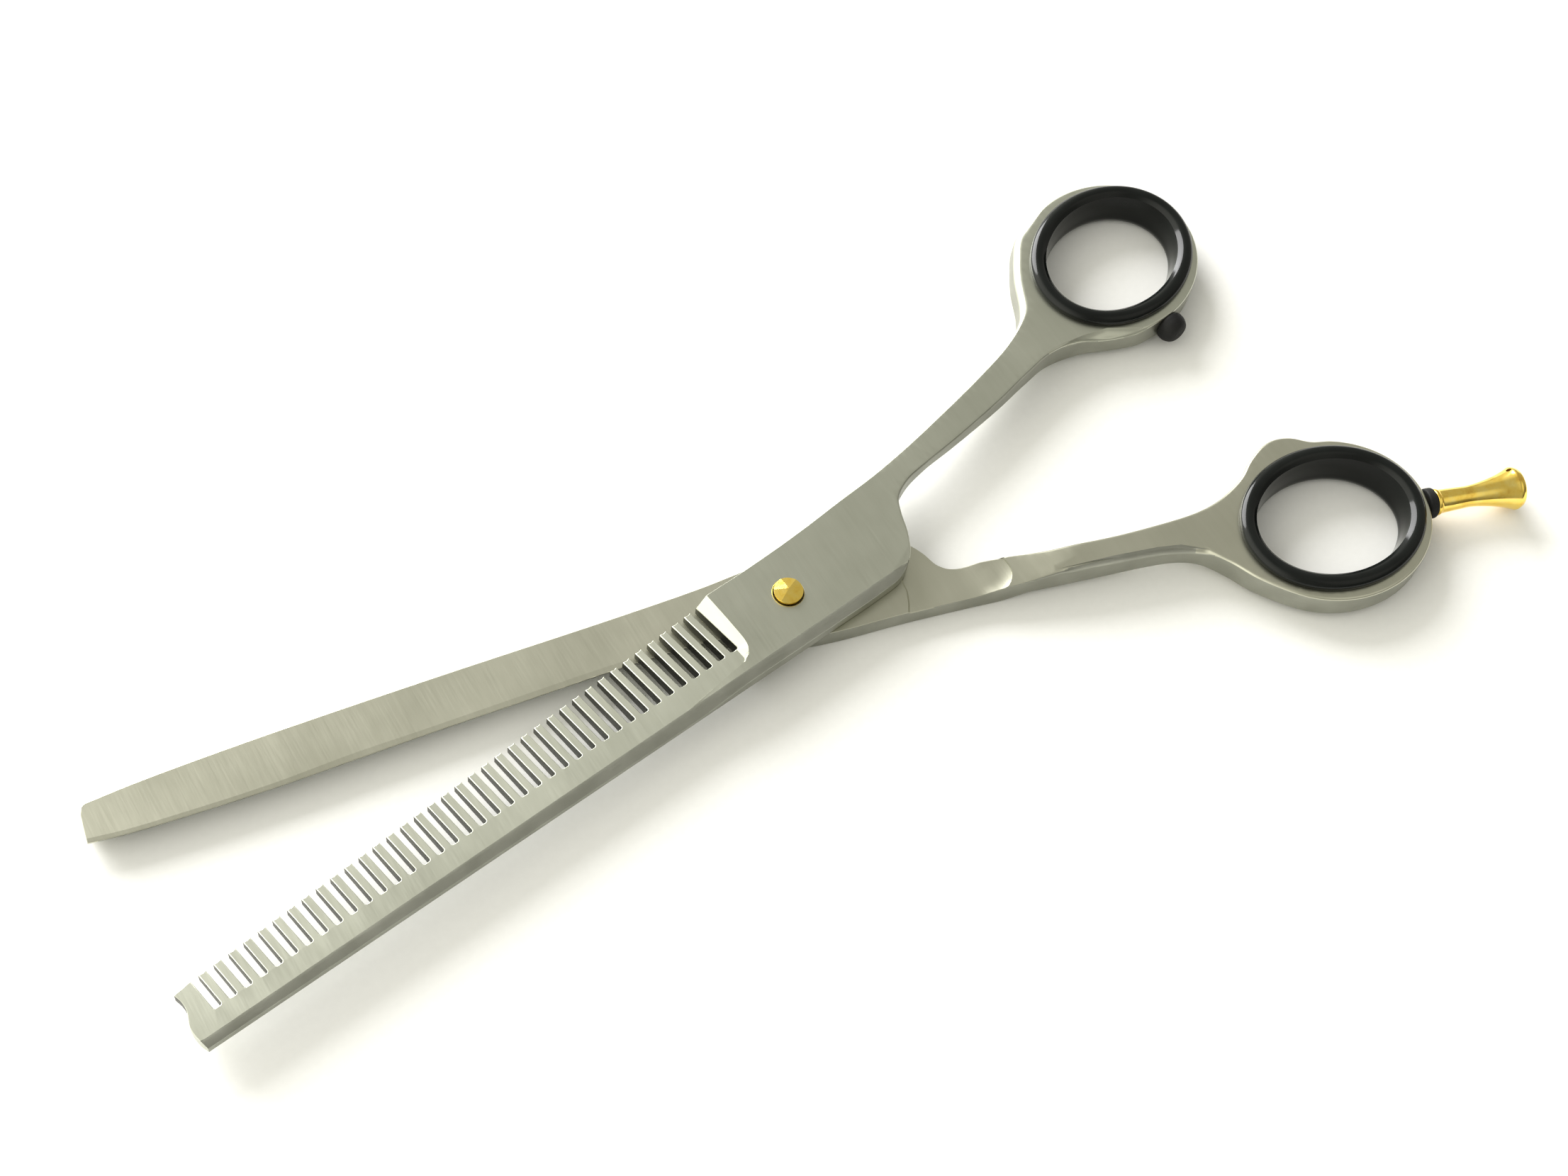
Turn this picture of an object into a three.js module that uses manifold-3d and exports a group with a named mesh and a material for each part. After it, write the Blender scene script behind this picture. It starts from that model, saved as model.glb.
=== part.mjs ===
// Thinning shears: a toothed blade and a straight blade on one pivot screw, with finger
// ring inserts, a rubber bumper and a screw-in finger rest. Millimetres, +Z up.
//
// The shears lie flat on the straight half, open by 2 * HALF_OPENING. The origin is on the
// pivot axis, on the underside of the pivot bush. +X runs between the blades to the tips.
// Each half is drawn in its own blade frame, where +X runs along its blade, and is then
// turned about the pivot. The halves meet with no opening between them when closed.

import * as THREE from 'three';
import { mergeVertices } from 'three/addons/utils/BufferGeometryUtils.js';
import Module from 'manifold-3d';

const wasm = await Module();
wasm.setup();

// ---- Driving dimensions ----

const HALF_OPENING = THREE.MathUtils.degToRad(8.18);
const CURVE_STEPS = 3;                 // points per stretch of a drawn curve
const ROUND_STEPS = 40;                // sides of a finger ring

// Heights of the faces above the surface that the shears lie on.
const STRAIGHT_TOP = 3.2;              // inner face of the straight blade
const EDGE_BOTTOM = 2.8;               // underside of the straight blade's thin cutting edge
const NECK_TOP = 2.9;                  // floor of the relief milled into the straight half
const TOOTHED_BOTTOM = 3.3;            // inner face of the toothed blade
const TOOTHED_TOP = 6.5;               // outer face of its pivot plate
const LAND_AT_SPINE = 5.6;             // ground land that carries the teeth, at the spine
const LAND_AT_TEETH = 4.7;             // and at the tooth tips
const SHANK_TOP = 5.9;
const RING_BOTTOM = 1.0;
const RING_TOP = 5.2;
const INSERT_TOP = 6.8;

// Teeth: straight slots cut from the toothed edge back to a line of roots.
const SLOT_COUNT = 38;
const SLOT_PITCH = 2.279;
const SLOT_WIDTH = 1.15;
const SLOT_LEAN = THREE.MathUtils.degToRad(3);  // keeps the slots square to the tooth line
const FIRST_SLOT = 11.6;               // x of the root of the slot nearest the pivot
const ROOT_AT_PIVOT = 2.5;             // y of the slots' ends at the pivot plate
const ROOT_AT_TIP = 4.35;              // and at the tip
const STEP_X = 9.8;                    // top edge of the step down to the toothed land
const STEP_RUN = 1.6;                  // how far the step slopes

// Finger rings, as ellipses in each half's blade frame.
const RING_OUTER = { a: 16.0, b: 13.8 };
const RING_BORE = { a: 13.4, b: 10.6 };
const INSERT_HOLE = { a: 12.0, b: 9.2 };
const LIP_WIDTH = 3.0;                 // from the insert's hole to the outer edge of its lip
const SEAT_GAP = 0.1;                  // between an insert and the ring it sits in
const FINGER_RING = { x: -82.4, y: 14.7, turn: THREE.MathUtils.degToRad(4.5) };
const THUMB_RING = { x: -81.7, y: -18.4, turn: THREE.MathUtils.degToRad(14.4) };
const THUMB_STEEL = { ...THUMB_RING, x: -81.2 };   // its steel is thicker towards the pivot

// Pivot.
const SCREW_RADIUS = 1.5;
const SCREW_THREAD_RADIUS = 1.2;
const SCREW_HEAD_RADIUS = 2.1;
const SCREW_HEAD_BOTTOM = 6.3;         // sunk a little into the plate, on the washer
const SCREW_RIM = 0.75;                // straight part of the head below its facets
const SCREW_PEAK = 0.6;                // height of the six-sided point
const WASHER_RECESS = { radius: 2.25, floor: 5.9 };
const BUSH_RADIUS = 2.6;

// Bumper and finger rest.
const BUMPER = { x: -81.4, seat: -4.5, z: 3.1, radius: 2.4, length: 2.8, stem: 1.0, depth: 1.8 };
const REST_TURN = THREE.MathUtils.degToRad(172);
const REST_Z = 3.35;
const REST_SEAT = { x: -98.3, y: 16.3 };
const REST_STUD = { radius: 1.25, length: 2.6 };
const REST_WASHER = { radius: 2.35, thickness: 1.5 };
const REST_RIM = { radius: 3.3, at: 13.2 };  // widest point, measured from the washer
const REST_LENGTH = 14.4;
const REST_HOLE = { radius: 0.4, turn: 50, inset: 0.5 };  // cross hole just below the rim

// ---- Solids from geometry ----

function solid(geometry) {
  geometry.deleteAttribute('normal');
  geometry.deleteAttribute('uv');
  const merged = mergeVertices(geometry, 1e-5);
  const mesh = new wasm.Mesh({
    numProp: 3,
    vertProperties: new Float32Array(merged.attributes.position.array),
    triVerts: new Uint32Array(merged.index.array),
  });
  return new wasm.Manifold(mesh);
}

function geometryOf(manifold) {
  const mesh = manifold.getMesh();
  const geometry = new THREE.BufferGeometry();
  geometry.setAttribute('position', new THREE.BufferAttribute(mesh.vertProperties, 3));
  geometry.setIndex(new THREE.BufferAttribute(mesh.triVerts, 1));
  return geometry;
}

function prism(shape, bottom, top, steps = CURVE_STEPS) {
  const geometry = new THREE.ExtrudeGeometry(shape, {
    depth: top - bottom,
    bevelEnabled: false,
    curveSegments: steps,
  });
  return solid(geometry.translate(0, 0, bottom));
}

// A prism drawn as (x, z) points and run along Y.
function sideProfile(points, yLow, yHigh) {
  const shape = new THREE.Shape(points.map(([x, z]) => new THREE.Vector2(x, z)));
  const geometry = new THREE.ExtrudeGeometry(shape, { depth: yHigh - yLow, bevelEnabled: false });
  return solid(geometry.rotateX(Math.PI / 2).translate(0, yHigh, 0));
}

// A prism drawn as (y, z) points and run along X.
function endProfile(points, xLow, xHigh) {
  const shape = new THREE.Shape(points.map(([y, z]) => new THREE.Vector2(y, z)));
  const geometry = new THREE.ExtrudeGeometry(shape, { depth: xHigh - xLow, bevelEnabled: false });
  return solid(geometry.rotateX(Math.PI / 2).rotateZ(Math.PI / 2).translate(xLow, 0, 0));
}

function ellipse({ a, b }, { x, y, turn }) {
  const shape = new THREE.Shape();
  shape.absellipse(x, y, a, b, 0, 2 * Math.PI, false, turn);
  return shape;
}

// A ring of the given section, as (distance outward from the hole's edge, z) points.
function ovalRing(section, inner, place) {
  const points = section.map(([r, z]) => new THREE.Vector2(inner.b + r, z));
  points.push(points[0].clone());
  const geometry = new THREE.LatheGeometry(points, ROUND_STEPS).rotateX(Math.PI / 2);
  stretchToOval(geometry, inner.a - inner.b);
  return solid(geometry.rotateZ(place.turn).translate(place.x, place.y, 0));
}

// Pulls a round ring out along X by the same amount at every radius, so that its wall
// keeps one thickness.
function stretchToOval(geometry, extra) {
  const position = geometry.attributes.position;
  for (let i = 0; i < position.count; i += 1) {
    const x = position.getX(i);
    const y = position.getY(i);
    position.setX(i, x + extra * (x / Math.hypot(x, y)));
  }
}

// A solid of revolution about Z from (radius, z) points that start and end on the axis.
function turned(points, sides = 24) {
  const profile = points.map(([r, z]) => new THREE.Vector2(r, z));
  return solid(new THREE.LatheGeometry(profile, sides).rotateX(Math.PI / 2));
}

function disc(radius, bottom, top, sides = 32) {
  return turned([[0, bottom], [radius, bottom], [radius, top], [0, top]], sides);
}

// The solid inside an ellipse, through the whole height of the shears.
function ovalPlug(size, place) {
  return prism(ellipse(size, place), -1, 9, ROUND_STEPS);
}

// An outline from stretches that are each a list of corners or a curve through points.
function trace(start, stretches) {
  const shape = new THREE.Shape();
  shape.moveTo(...start);
  for (const { line, curve } of stretches) {
    if (line) line.forEach((point) => shape.lineTo(...point));
    if (curve) shape.splineThru(curve.map(([x, y]) => new THREE.Vector2(x, y)));
  }
  return shape;
}

// ---- Outlines seen from above, in each half's blade frame ----

const toothedOutline = trace([99.4, -0.6], [
  { curve: [[99.2, 2.1], [100.1, 4.6], [100.0, 7.9]] },
  { line: [[-11.5, 7.3]] },
  { curve: [[-15.9, 6.9], [-18.4, 5.4], [-20.6, 2.4], [-22.2, -1.0], [-23.6, -3.1], [-26.6, -4.6]] },
  { curve: [[-31.0, -5.3], [-37.3, -6.0], [-48.0, -7.6], [-55.0, -9.0], [-60.5, -9.8]] },
  { curve: [[-66.0, -9.0], [-71.5, -6.4], [-77.6, -4.2]] },
  { line: [[-79.1, -5.2], [-79.1, -12.0], [-80.0, -26.0], [-74.0, -28.0]] },
  { curve: [[-69.0, -25.0], [-66.2, -21.6], [-63.8, -18.2], [-61.0, -15.9], [-55.7, -14.3]] },
  { curve: [[-48.1, -12.7], [-36.9, -10.5], [-28.2, -9.0], [-14.2, -7.4], [-4.9, -6.7]] },
  { line: [[2.7, -6.4], [10.8, -6.4]] },
]);

const straightOutline = trace([100.2, 2.75], [
  { curve: [[95.2, 3.15], [88.0, 3.3], [76.0, 3.25], [64.5, 2.85], [54.0, 2.45], [28.0, 1.8]] },
  { curve: [[14.0, 1.9], [8.0, 2.8], [3.5, 4.7], [0.0, 5.9], [-5.0, 6.6], [-16.1, 7.2], [-28.0, 8.2], [-38.0, 9.3]] },
  { curve: [[-48.0, 10.6], [-54.5, 11.5], [-58.0, 12.3], [-61.2, 13.7], [-63.8, 16.3], [-68.5, 23.2]] },
  { line: [[-73.5, 24.5], [-80.0, 22.0], [-88.0, 8.0], [-91.0, 4.0]] },
  { curve: [[-88.5, 2.1], [-85.2, 0.8], [-83.4, -0.6], [-81.1, -0.9], [-78.8, -0.5], [-75.5, 1.3]] },
  { curve: [[-72.8, 3.5], [-70.3, 4.9], [-67.2, 6.1], [-64.0, 6.8], [-59.6, 7.1], [-52.0, 6.9]] },
  { curve: [[-45.5, 6.3], [-39.2, 5.3], [-34.0, 4.0], [-29.6, 3.0], [-26.3, 2.7], [-24.6, 2.1]] },
  { curve: [[-23.4, 0.9], [-22.5, -1.2], [-21.3, -3.1], [-19.0, -5.2], [-16.0, -6.7], [-12.0, -7.4]] },
  { curve: [[-6.0, -7.5], [3.3, -7.1], [10.6, -6.5], [23.7, -6.0]] },
  { curve: [[51.0, -5.4], [77.6, -4.5], [92.4, -3.6], [99.2, -2.9]] },
  { line: [[100.1, -1.4]] },
]);

// ---- Side views: how thick each half is along its length ----

const toothedSide = [
  [101, TOOTHED_BOTTOM], [101, TOOTHED_TOP], [-26, TOOTHED_TOP], [-40, 6.3], [-58, SHANK_TOP],
  [-70, RING_TOP + 0.2], [-100, RING_TOP + 0.2], [-100, RING_BOTTOM], [-62, RING_BOTTOM],
  [-50, 1.4], [-38, 2.3], [-27, TOOTHED_BOTTOM],
];

const straightSide = [
  [101, 0], [101, STRAIGHT_TOP], [-16.6, STRAIGHT_TOP], [-17.0, NECK_TOP], [-29.4, NECK_TOP],
  [-32.9, 3.9], [-35.5, 4.5], [-40, 5.4], [-44, SHANK_TOP], [-60, SHANK_TOP - 0.2],
  [-70, RING_TOP + 0.2], [-100, RING_TOP + 0.2], [-100, RING_BOTTOM], [-62, RING_BOTTOM],
  [-50, 0.7], [-36, 0],
];

// ---- Toothed half ----

// A slot runs in from the toothed edge to a nearly square root.
function toothSlot(index) {
  const root = THREE.MathUtils.lerp(ROOT_AT_PIVOT, ROOT_AT_TIP, index / (SLOT_COUNT - 1));
  const half = SLOT_WIDTH / 2;
  const corner = 0.25;
  const shape = new THREE.Shape();
  shape.moveTo(-half, -12);
  shape.lineTo(half, -12);
  shape.lineTo(half, -corner);
  shape.absarc(half - corner, -corner, corner, 0, Math.PI / 2, false);
  shape.absarc(corner - half, -corner, corner, Math.PI / 2, Math.PI, false);
  const slot = prism(shape, TOOTHED_BOTTOM - 1, TOOTHED_TOP + 1);
  return slot.rotate([0, 0, THREE.MathUtils.radToDeg(SLOT_LEAN)])
    .translate([FIRST_SLOT + index * SLOT_PITCH, root, 0]);
}

// What is ground away above the toothed land: a sloping plane, stepped at the plate.
function aboveLand() {
  const slope = (LAND_AT_SPINE - LAND_AT_TEETH) / 12;
  const low = LAND_AT_TEETH - slope * 6;
  const high = LAND_AT_SPINE + slope * 6;
  const plane = endProfile([[-12, low], [12, high], [12, 9], [-12, 9]], STEP_X - 1, 110);
  const step = sideProfile([
    [STEP_X, TOOTHED_TOP], [STEP_X + STEP_RUN, LAND_AT_TEETH], [STEP_X + STEP_RUN, 2],
    [112, 2], [112, 9], [STEP_X, 9],
  ], -12, 12);
  return plane.intersect(step);
}

// The hollow ground along the outside of the spine, which leaves a crease on the top face.
function spineHollow() {
  const hollow = endProfile([[5.6, 7.2], [6.1, 4.7], [7.6, 3.7], [12, 3.7], [12, 7.2]], -30, 110);
  return hollow.rotate([0, 0, 0.6]);
}

function makeToothedBlade() {
  let half = prism(toothedOutline, 0, 8).intersect(sideProfile(toothedSide, -45, 20));
  half = half.subtract(aboveLand()).subtract(spineHollow());
  half = half.add(fingerRing(THUMB_STEEL)).subtract(ringBore(THUMB_RING));
  for (let index = 0; index < SLOT_COUNT; index += 1) half = half.subtract(toothSlot(index));
  half = half.subtract(disc(SCREW_RADIUS + 0.1, 0, 9));
  half = half.subtract(disc(WASHER_RECESS.radius, WASHER_RECESS.floor, 9));
  return half.subtract(alongBumper(disc(BUMPER.stem + SEAT_GAP, -BUMPER.depth - 0.3, 0.5)))
    .subtract(alongBumper(disc(BUMPER.radius + 0.2, -0.1, 4)));
}

// The bumper's axis points at the other finger ring.
function alongBumper(piece) {
  return piece.rotate([-90, 0, 0]).translate([BUMPER.x, BUMPER.seat, BUMPER.z]);
}

function makeBumper() {
  const { radius, length, stem, depth } = BUMPER;
  return alongBumper(turned([
    [0, -depth], [stem, -depth], [stem, 0], [radius - 0.2, 0], [radius, 0.3],
    [radius, length - 1.2], [radius - 0.5, length - 0.4], [radius - 1.3, length], [0, length],
  ], 20));
}

// ---- Straight half ----

// The outer face is ground up to the cutting edge and relieved along the spine.
function outerBevels() {
  const edge = endProfile([[-3, -1], [-3, 0], [1, EDGE_BOTTOM], [9, EDGE_BOTTOM], [9, -1]], 10, 110);
  const spine = endProfile([[-9, -1], [-9, 0.9], [-5.4, 0.9], [-3.2, 0], [-3.2, -1]], 12, 110);
  const tip = edge.translate([0, 5.5, 0]).rotate([0, 0, -2.1]);
  return edge.rotate([0, 0, 1.6]).add(tip).add(spine.rotate([0, 0, 0.9]));
}

function makeStraightBlade() {
  let half = prism(straightOutline, -1, 8).intersect(sideProfile(straightSide, -15, 45));
  half = half.subtract(outerBevels());
  half = half.add(fingerRing(FINGER_RING)).subtract(ringBore(FINGER_RING));
  half = half.subtract(disc(BUSH_RADIUS + 0.05, -1, 9));
  return half.subtract(alongRest(disc(REST_STUD.radius + 0.1, -REST_STUD.length - 0.2, 1)))
    .subtract(alongRest(disc(REST_WASHER.radius + 0.2, 0, 6)));
}

// ---- Finger rings ----

// Drawn inward from the ring's outer edge, so that the bore trims it to its own oval.
function fingerRing(place) {
  const rim = 0.6;
  const depth = RING_OUTER.b - RING_BORE.b + 0.5;
  const inner = { a: RING_OUTER.a - depth, b: RING_OUTER.b - depth };
  return ovalRing([
    [0, RING_BOTTOM], [depth - rim, RING_BOTTOM], [depth, RING_BOTTOM + rim],
    [depth, RING_TOP - rim], [depth - rim, RING_TOP], [0, RING_TOP],
  ], inner, place);
}

function ringBore(place) {
  const bore = ovalPlug(RING_BORE, place);
  const reach = LIP_WIDTH + 0.3;
  const lipSeat = ovalPlug({ a: INSERT_HOLE.a + reach, b: INSERT_HOLE.b + reach }, place);
  const seats = lipSeat.trimByPlane([0, 0, 1], RING_TOP).add(lipSeat.trimByPlane([0, 0, -1], -RING_BOTTOM));
  return bore.add(seats);
}

// A spool: a waisted tube through the ring with a rounded lip over each of its faces.
function makeInsert(place) {
  const wall = RING_BORE.b - SEAT_GAP - INSERT_HOLE.b;
  const lip = LIP_WIDTH;
  const mid = INSERT_TOP / 2;
  return ovalRing([
    [0, mid - 1.3], [0.5, 0.9], [1.3, 0.0], [lip - 0.6, 0.0], [lip, RING_BOTTOM - SEAT_GAP - 0.3],
    [lip, RING_BOTTOM - SEAT_GAP], [wall, RING_BOTTOM - SEAT_GAP], [wall, RING_TOP + SEAT_GAP],
    [lip, RING_TOP + SEAT_GAP], [lip, RING_TOP + SEAT_GAP + 0.8], [lip - 0.7, INSERT_TOP],
    [0.9, INSERT_TOP], [0.2, INSERT_TOP - 0.6], [0, mid + 1.3],
  ], INSERT_HOLE, place);
}

// ---- Pivot ----

function makePivotScrew() {
  const rimTop = SCREW_HEAD_BOTTOM + SCREW_RIM;
  const shank = turned([
    [0, 0.9], [SCREW_THREAD_RADIUS, 0.9], [SCREW_THREAD_RADIUS, STRAIGHT_TOP - 0.2],
    [SCREW_RADIUS, STRAIGHT_TOP - 0.2], [SCREW_RADIUS, SCREW_HEAD_BOTTOM],
    [SCREW_HEAD_RADIUS, SCREW_HEAD_BOTTOM], [SCREW_HEAD_RADIUS, rimTop], [0, rimTop],
  ], 24);
  const base = rimTop - 0.15;
  const point = new THREE.ConeGeometry(SCREW_HEAD_RADIUS + 0.25, SCREW_PEAK + 0.15, 6);
  point.rotateX(Math.PI / 2).translate(0, 0, base + (SCREW_PEAK + 0.15) / 2);
  return shank.add(solid(point).intersect(disc(SCREW_HEAD_RADIUS, base, base + 2)));
}

function makeScrewWasher() {
  const ring = disc(WASHER_RECESS.radius - 0.1, WASHER_RECESS.floor + 0.05, SCREW_HEAD_BOTTOM - 0.05);
  return ring.subtract(disc(SCREW_RADIUS + 0.15, 0, 9));
}

// A blind threaded bush with two holes for a pin spanner.
function makePivotBush() {
  let bush = disc(BUSH_RADIUS, 0, STRAIGHT_TOP - 0.1);
  bush = bush.subtract(disc(SCREW_THREAD_RADIUS + 0.05, 0.8, 9));
  bush = bush.subtract(disc(SCREW_RADIUS + 0.1, STRAIGHT_TOP - 0.4, 9));
  for (const side of [-1, 1]) bush = bush.subtract(disc(0.4, -1, 0.5, 12).translate([side * 1.85, 0, 0]));
  return bush;
}

// ---- Finger rest ----

// The rest stands out of the end of the finger ring, along the handle.
function alongRest(piece) {
  return piece.rotate([0, 90, THREE.MathUtils.radToDeg(REST_TURN)])
    .translate([REST_SEAT.x, REST_SEAT.y, REST_Z]);
}

function makeRestWasher() {
  const { radius, thickness } = REST_WASHER;
  const ring = turned([
    [0, 0.1], [radius - 0.3, 0.1], [radius, 0.4], [radius, thickness - 0.4],
    [radius - 0.3, thickness], [0, thickness],
  ], 24);
  return alongRest(ring.subtract(disc(REST_STUD.radius + 0.1, -1, 9)));
}

function makeFingerRest() {
  const foot = REST_WASHER.thickness + 0.1;
  const rim = foot + REST_RIM.at;
  const end = foot + REST_LENGTH;
  const sweep = new THREE.SplineCurve([
    new THREE.Vector2(1.82, foot + 1.2), new THREE.Vector2(1.66, foot + 5.2),
    new THREE.Vector2(1.95, foot + 8.5), new THREE.Vector2(2.5, foot + 11.0),
    new THREE.Vector2(REST_RIM.radius, rim),
  ]).getPoints(14).map((point) => [point.x, point.y]);
  const body = turned([
    [0, -REST_STUD.length], [REST_STUD.radius, -REST_STUD.length], [REST_STUD.radius, foot],
    [1.8, foot], [2.0, foot + 0.3], [2.0, foot + 0.8], ...sweep,
    [REST_RIM.radius, rim + 0.2], [3.05, end - 0.4], [2.4, end], [0, end],
  ], 32);
  const hole = disc(REST_HOLE.radius, -6, 6, 12).rotate([90, 0, 0]).rotate([0, 0, REST_HOLE.turn]);
  return alongRest(body.subtract(hole.translate([0, 0, rim - REST_HOLE.inset])));
}

// ---- Assembly ----

const steel = { color: 0x9c9a90, roughness: 0.42, metalness: 1 };
const gold = { color: 0xd9a93a, roughness: 0.18, metalness: 1 };
const glossBlack = { color: 0x0c0d0c, roughness: 0.15, metalness: 0 };
const rubber = { color: 0x0b0b0b, roughness: 0.75, metalness: 0 };
const nylon = { color: 0x1b1a18, roughness: 0.5, metalness: 0 };

function named(name, manifold, material) {
  const mesh = new THREE.Mesh(geometryOf(manifold), new THREE.MeshStandardMaterial(material));
  mesh.name = name;
  return mesh;
}

const toothedHalf = new THREE.Group();
toothedHalf.add(
  named('toothed_blade', makeToothedBlade(), steel),
  named('thumb_ring_insert', makeInsert(THUMB_RING), glossBlack),
  named('bumper', makeBumper(), rubber),
  named('screw_washer', makeScrewWasher(), nylon),
);
toothedHalf.rotation.z = HALF_OPENING;

const straightHalf = new THREE.Group();
straightHalf.add(
  named('straight_blade', makeStraightBlade(), steel),
  named('finger_ring_insert', makeInsert(FINGER_RING), glossBlack),
  named('finger_rest', makeFingerRest(), gold),
  named('finger_rest_washer', makeRestWasher(), rubber),
  named('pivot_bush', makePivotBush(), steel),
  named('pivot_screw', makePivotScrew(), gold),
);
straightHalf.rotation.z = -HALF_OPENING;

const shears = new THREE.Group();
shears.add(toothedHalf, straightHalf);

export default shears;
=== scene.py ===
"""Thinning shears, lying open on a pale table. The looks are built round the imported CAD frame.

Each half is drawn in its own blade frame, in millimetres, with +X along its blade, and is
turned about the pivot when its mesh is made, as the CAD halves are.
"""

import math

import bmesh
import bpy
import numpy as np
from mathutils import Matrix, Vector
from mathutils.geometry import delaunay_2d_cdt


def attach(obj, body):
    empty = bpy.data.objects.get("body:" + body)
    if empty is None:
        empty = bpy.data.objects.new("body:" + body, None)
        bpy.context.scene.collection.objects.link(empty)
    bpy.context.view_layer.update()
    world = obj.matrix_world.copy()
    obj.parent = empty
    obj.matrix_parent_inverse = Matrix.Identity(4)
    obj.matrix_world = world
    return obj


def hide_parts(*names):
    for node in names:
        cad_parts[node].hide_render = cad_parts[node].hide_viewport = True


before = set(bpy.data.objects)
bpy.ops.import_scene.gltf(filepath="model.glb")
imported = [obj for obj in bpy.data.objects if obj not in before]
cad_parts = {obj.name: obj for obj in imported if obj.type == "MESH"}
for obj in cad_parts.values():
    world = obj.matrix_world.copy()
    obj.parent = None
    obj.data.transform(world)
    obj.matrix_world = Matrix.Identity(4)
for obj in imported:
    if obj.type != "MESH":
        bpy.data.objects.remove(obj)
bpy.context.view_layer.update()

MM = 0.001
HALF_OPENING = 8.18        # degrees that each half is turned from the middle
EDGE_ROWS = 6              # rows of faces round each rounded edge

# ---- Shared sizes, in millimetres ----

FINGER_RING = dict(x=-82.4, y=14.7, turn=4.5)
THUMB_RING = dict(x=-81.7, y=-18.4, turn=14.4)
THUMB_STEEL = dict(x=-81.2, y=-18.4, turn=14.4)   # thicker towards the pivot
RING_OUTER = (15.95, 13.75)
RING_BORE = (13.4, 10.6)
INSERT_HOLE = (12.0, 9.2)
RING_BOTTOM = 1.0
RING_TOP = 5.2
INSERT_TOP = 6.8
SLOT_COUNT = 38
SLOT_PITCH = 2.279
SLOT_HALF = 0.575
SLOT_CORNER = 0.25
FIRST_SLOT = 11.6          # at the root; each slot leans a little towards the tip
SLOT_LEAN = math.tan(math.radians(3))
PLATE_TOP = 6.5            # heights over the table
LAND_AT_TEETH = 4.7
LAND_SLOPE = 0.075
SPINE_CREST = 5.6          # where the land meets the hollow along the spine
TOOTHED_BOTTOM = 3.3
STRAIGHT_TOP = 3.2
NECK_TOP = 2.9             # floor of the relief milled into the straight half
RECESS_RADIUS = 2.25
BUSH_RADIUS = 2.6
SCREW_RADIUS = 2.1
SCREW_SEAT = 6.3
SCREW_RIM = 0.75
SCREW_PEAK = 0.6
BUMPER = dict(x=-81.4, y=-4.5, z=3.1)
REST = dict(x=-98.3, y=16.3, z=3.35, turn=172)
REST_FOOT = 1.6            # where the gold body starts, past the washer


# ---- Curves ----

def spline(points, step=0.5):
    """A centripetal Catmull-Rom curve through the points."""
    p = np.array(points, float)
    p = np.vstack([2 * p[0] - p[1], p, 2 * p[-1] - p[-2]])
    out = [p[1]]
    for a, b, c, d in zip(p, p[1:], p[2:], p[3:]):
        ta = 0.0
        tb = ta + math.sqrt(np.linalg.norm(b - a))
        tc = tb + math.sqrt(np.linalg.norm(c - b))
        td = tc + math.sqrt(np.linalg.norm(d - c))
        count = max(1, math.ceil(np.linalg.norm(c - b) / step))
        for t in np.linspace(tb, tc, count + 1)[1:]:
            ab = ((tb - t) * a + (t - ta) * b) / (tb - ta)
            bc = ((tc - t) * b + (t - tb) * c) / (tc - tb)
            cd = ((td - t) * c + (t - tc) * d) / (td - tc)
            abc = ((tc - t) * ab + (t - ta) * bc) / (tc - ta)
            bcd = ((td - t) * bc + (t - tb) * cd) / (td - tb)
            out.append(((tc - t) * abc + (t - tb) * bcd) / (tc - tb))
    return [tuple(q) for q in out]


def oval(place, size, start, end, count):
    """Points on an ellipse between two angles, counted along its own long axis."""
    turn = math.radians(place["turn"])
    out = []
    for angle in np.radians(np.linspace(start, end, count)):
        u = size[0] * math.cos(angle)
        v = size[1] * math.sin(angle)
        out.append((place["x"] + u * math.cos(turn) - v * math.sin(turn),
                    place["y"] + u * math.sin(turn) + v * math.cos(turn)))
    return out


def hole(place, size, count):
    """A closed clockwise loop, so that the material is on its left."""
    return oval(place, size, 360, 0, count + 1)[:-1]


def ease(value):
    """0 below 0, 1 above 1, and smooth between."""
    t = np.clip(value, 0.0, 1.0)
    return t * t * (3 - 2 * t)


def distance_to(points, line):
    """Distance from each point to a polyline, and which side it lies on (+1 is left)."""
    p = np.asarray(points, float)[:, None, :]
    a = np.asarray(line[:-1], float)[None]
    ab = np.asarray(line[1:], float)[None] - a
    t = np.clip(((p - a) * ab).sum(2) / (ab * ab).sum(2), 0, 1)
    gap = p - (a + t[..., None] * ab)
    far = np.hypot(gap[..., 0], gap[..., 1])
    best = far.argmin(1)
    rows = np.arange(len(best))
    cross = ab[0, best, 0] * gap[rows, best, 1] - ab[0, best, 1] * gap[rows, best, 0]
    return far[rows, best], np.sign(cross)


def inside(points, loop):
    """Which points lie inside a closed loop."""
    p = np.asarray(points, float)
    a = np.asarray(loop, float)
    b = np.roll(a, -1, 0)
    out = np.zeros(len(p), bool)
    for (ax, ay), (bx, by) in zip(a, b):
        if ay == by:
            continue
        crosses = (ay > p[:, 1]) != (by > p[:, 1])
        out ^= crosses & (p[:, 0] < (bx - ax) * (p[:, 1] - ay) / (by - ay) + ax)
    return out


# ---- Meshes ----

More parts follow.
